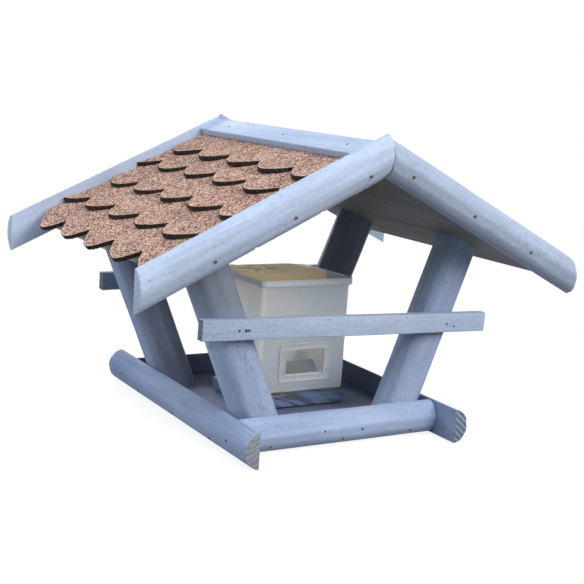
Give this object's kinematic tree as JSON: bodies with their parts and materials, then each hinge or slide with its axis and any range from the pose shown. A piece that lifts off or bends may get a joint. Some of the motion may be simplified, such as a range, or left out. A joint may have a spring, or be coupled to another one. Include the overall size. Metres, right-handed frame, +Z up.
{
  "type": "bird feeder house",
  "caption": "Log-framed bird feeder house with a shingled gable roof on leaning posts, perch laths, an open tray and a lift-out feed box with a lid and a feeding window.",
  "frame": {"origin": "under the middle of the tray, on the surface the house stands on", "axes": "+Z up, the front gable faces -Y, +X to the right seen from the front, ridge along Y"},
  "size_m": [0.6, 0.447, 0.3784],
  "materials": {
    "wood_stained": "pale blue stain over log grain, worn",
    "wood_verge": "light blue stain, sunlit, faint grain",
    "wood_deck": "dark grey blue stained boards",
    "shingle": "bitumen sheet with reddish mineral granules and black cut edges",
    "milky_plastic": "milky translucent polypropylene",
    "straw_plastic": "straw coloured mottled translucent lid",
    "steel": "dark weathered nails"
  },
  "bodies": {
    "house": {"rail_left": "wood_stained", "rail_right": "wood_stained", "rail_front": "wood_stained", "rail_rear": "wood_stained", "post_front_left": "wood_stained", "post_front_right": "wood_stained", "post_rear_left": "wood_stained", "post_rear_right": "wood_stained", "perch_front": "wood_stained", "perch_rear": "wood_stained", "pedestal": "wood_stained", "verge_front_left": "wood_verge", "verge_front_right": "wood_verge", "verge_rear_left": "wood_verge", "verge_rear_right": "wood_verge", "ridge_strip_left": "wood_verge", "ridge_strip_right": "wood_verge", "floor_board": "wood_deck", "deck_left_1": "wood_deck", "deck_left_2": "wood_deck", "deck_left_3": "wood_deck", "deck_right_1": "wood_deck", "deck_right_2": "wood_deck", "deck_right_3": "wood_deck", "shingle_left_1": "shingle", "shingle_left_2": "shingle", "shingle_left_3": "shingle", "shingle_left_4": "shingle", "shingle_left_5": "shingle", "shingle_right_1": "shingle", "shingle_right_2": "shingle", "shingle_right_3": "shingle", "shingle_right_4": "shingle", "shingle_right_5": "shingle", "shingle_starter_left": "shingle", "shingle_starter_right": "shingle", "rail_nails": "steel", "post_screws": "steel", "perch_nails": "steel", "verge_nails": "steel", "shingle_nails": "steel", "ridge_nails": "steel", "pedestal_screws": "steel"},
    "feed_box": {"feed_box": "milky_plastic", "window_frame": "milky_plastic"},
    "lid": {"feed_box_lid": "straw_plastic"}
  },
  "joints": [
    {"name": "feed_box_lift", "type": "slide", "parent": "house", "child": "feed_box", "axis": [0, 0, 1], "range_m": [0, 0.03]},
    {"name": "lid_lift", "type": "slide", "parent": "feed_box", "child": "lid", "axis": [0, 0, 1], "range_m": [0, 0.06]}
  ]
}
